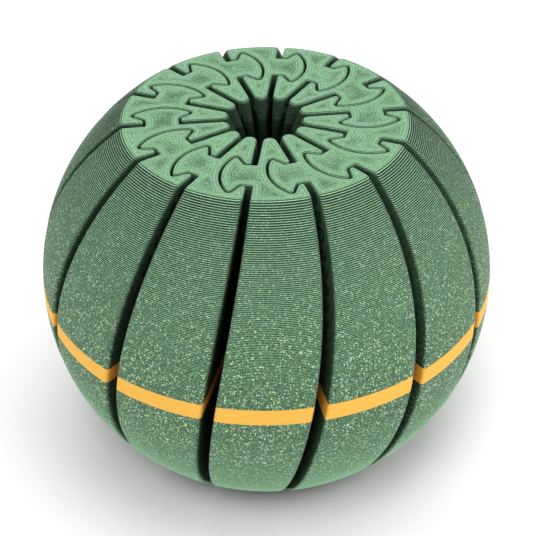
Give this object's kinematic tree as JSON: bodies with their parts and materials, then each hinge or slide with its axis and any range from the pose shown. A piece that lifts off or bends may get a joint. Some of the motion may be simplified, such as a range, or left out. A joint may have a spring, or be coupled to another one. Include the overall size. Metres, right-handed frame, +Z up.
{
  "type": "sliding segment puzzle ball",
  "caption": "Printed puzzle ball of identical wedges hooked into a closed ring, each sliding along a shared helix, with flat ends, a centre hole and an orange waistband.",
  "frame": {"origin": "centre of the flat bottom, on the ball's upright axis", "axes": "+Z up along the ball's axis, -Y towards the viewer"},
  "size_m": [0.062, 0.062, 0.0496],
  "materials": {
    "green_body": "satin, speckled, with horizontal print layers",
    "orange_layers": "satin, with horizontal print layers"
  },
  "bodies": {
    "segment_01": {"segment_01_lower": "green_body", "segment_01_band": "orange_layers", "segment_01_upper": "green_body"},
    "segment_02": {"segment_02_lower": "green_body", "segment_02_band": "orange_layers", "segment_02_upper": "green_body"},
    "segment_03": {"segment_03_lower": "green_body", "segment_03_band": "orange_layers", "segment_03_upper": "green_body"},
    "segment_04": {"segment_04_lower": "green_body", "segment_04_band": "orange_layers", "segment_04_upper": "green_body"},
    "segment_05": {"segment_05_lower": "green_body", "segment_05_band": "orange_layers", "segment_05_upper": "green_body"},
    "segment_06": {"segment_06_lower": "green_body", "segment_06_band": "orange_layers", "segment_06_upper": "green_body"},
    "segment_07": {"segment_07_lower": "green_body", "segment_07_band": "orange_layers", "segment_07_upper": "green_body"},
    "segment_08": {"segment_08_lower": "green_body", "segment_08_band": "orange_layers", "segment_08_upper": "green_body"},
    "segment_09": {"segment_09_lower": "green_body", "segment_09_band": "orange_layers", "segment_09_upper": "green_body"},
    "segment_10": {"segment_10_lower": "green_body", "segment_10_band": "orange_layers", "segment_10_upper": "green_body"},
    "segment_11": {"segment_11_lower": "green_body", "segment_11_band": "orange_layers", "segment_11_upper": "green_body"},
    "segment_12": {"segment_12_lower": "green_body", "segment_12_band": "orange_layers", "segment_12_upper": "green_body"},
    "segment_13": {"segment_13_lower": "green_body", "segment_13_band": "orange_layers", "segment_13_upper": "green_body"},
    "segment_14": {"segment_14_lower": "green_body", "segment_14_band": "orange_layers", "segment_14_upper": "green_body"}
  },
  "joints": [
    {"name": "slide_02", "type": "slide", "parent": "segment_01", "child": "segment_02", "axis": [0.0404, 0.0487, 0.998], "range_m": [0, 0.007]},
    {"name": "slide_03", "type": "slide", "parent": "segment_01", "child": "segment_03", "axis": [0.0153, 0.0614, 0.998], "range_m": [0, 0.007]},
    {"name": "slide_04", "type": "slide", "parent": "segment_01", "child": "segment_04", "axis": [-0.0128, 0.062, 0.998], "range_m": [0, 0.007]},
    {"name": "slide_05", "type": "slide", "parent": "segment_01", "child": "segment_05", "axis": [-0.0384, 0.0503, 0.998], "range_m": [0, 0.007]},
    {"name": "slide_06", "type": "slide", "parent": "segment_01", "child": "segment_06", "axis": [-0.0564, 0.0286, 0.998], "range_m": [0, 0.007]},
    {"name": "slide_07", "type": "slide", "parent": "segment_01", "child": "segment_07", "axis": [-0.0633, 0.0013, 0.998], "range_m": [0, 0.007]},
    {"name": "slide_08", "type": "slide", "parent": "segment_01", "child": "segment_08", "axis": [-0.0576, -0.0263, 0.998], "range_m": [0, 0.007]},
    {"name": "slide_09", "type": "slide", "parent": "segment_01", "child": "segment_09", "axis": [-0.0404, -0.0487, 0.998], "range_m": [0, 0.007]},
    {"name": "slide_10", "type": "slide", "parent": "segment_01", "child": "segment_10", "axis": [-0.0153, -0.0614, 0.998], "range_m": [0, 0.007]},
    {"name": "slide_11", "type": "slide", "parent": "segment_01", "child": "segment_11", "axis": [0.0128, -0.062, 0.998], "range_m": [0, 0.007]},
    {"name": "slide_12", "type": "slide", "parent": "segment_01", "child": "segment_12", "axis": [0.0384, -0.0503, 0.998], "range_m": [0, 0.007]},
    {"name": "slide_13", "type": "slide", "parent": "segment_01", "child": "segment_13", "axis": [0.0564, -0.0286, 0.998], "range_m": [0, 0.007]},
    {"name": "slide_14", "type": "slide", "parent": "segment_01", "child": "segment_14", "axis": [0.0633, -0.0013, 0.998], "range_m": [0, 0.007]}
  ]
}
